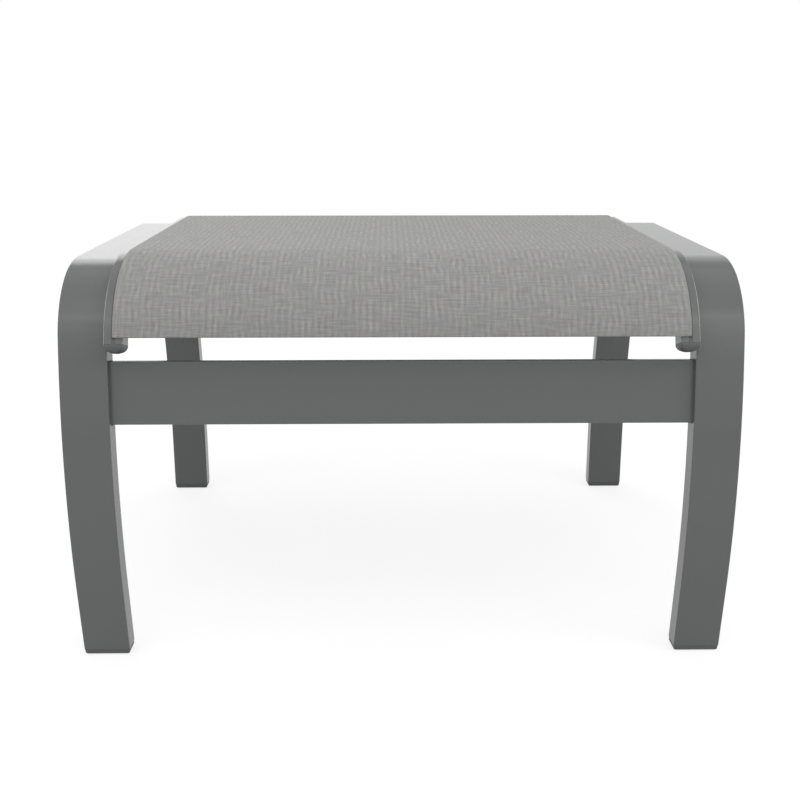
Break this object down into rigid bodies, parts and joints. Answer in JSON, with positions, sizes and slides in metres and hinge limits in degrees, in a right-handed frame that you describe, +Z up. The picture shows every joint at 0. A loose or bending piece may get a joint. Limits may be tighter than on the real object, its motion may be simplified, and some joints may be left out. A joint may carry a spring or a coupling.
{
  "type": "sling ottoman footstool",
  "caption": "Patio footstool: a taut mesh sling between bent tube side frames, joined by flat crossbars, with waterfall ends and bowed legs.",
  "frame": {"origin": "on the floor, below the middle of the ottoman", "axes": "+Z up, +X along the crossbars to the right, -Y towards the front"},
  "size_m": [0.64, 0.4686, 0.3957],
  "materials": {
    "frame_coat": "satin powder coat",
    "sling_mesh": "woven coated mesh",
    "plug_plastic": "matte",
    "spline_rod": "matte",
    "fastener_steel": "zinc plated"
  },
  "bodies": {
    "root": {"left_side_frame": "frame_coat", "right_side_frame": "frame_coat", "front_crossbar": "frame_coat", "rear_crossbar": "frame_coat", "left_sling_rail": "frame_coat", "right_sling_rail": "frame_coat", "front_left_rail_cap": "plug_plastic", "rear_left_rail_cap": "plug_plastic", "front_right_rail_cap": "plug_plastic", "rear_right_rail_cap": "plug_plastic", "sling_fabric": "sling_mesh", "left_spline": "spline_rod", "right_spline": "spline_rod", "front_left_glide": "plug_plastic", "rear_left_glide": "plug_plastic", "front_right_glide": "plug_plastic", "rear_right_glide": "plug_plastic", "front_spreader_bar": "frame_coat", "rear_spreader_bar": "frame_coat", "front_left_rail_bolt": "fastener_steel", "front_left_washer": "fastener_steel", "front_left_rivet_nut": "fastener_steel", "middle_left_rail_bolt": "fastener_steel", "middle_left_washer": "fastener_steel", "middle_left_rivet_nut": "fastener_steel", "rear_left_rail_bolt": "fastener_steel", "rear_left_washer": "fastener_steel", "rear_left_rivet_nut": "fastener_steel", "front_right_rail_bolt": "fastener_steel", "front_right_washer": "fastener_steel", "front_right_rivet_nut": "fastener_steel", "middle_right_rail_bolt": "fastener_steel", "middle_right_washer": "fastener_steel", "middle_right_rivet_nut": "fastener_steel", "rear_right_rail_bolt": "fastener_steel", "rear_right_washer": "fastener_steel", "rear_right_rivet_nut": "fastener_steel"}
  },
  "joints": []
}
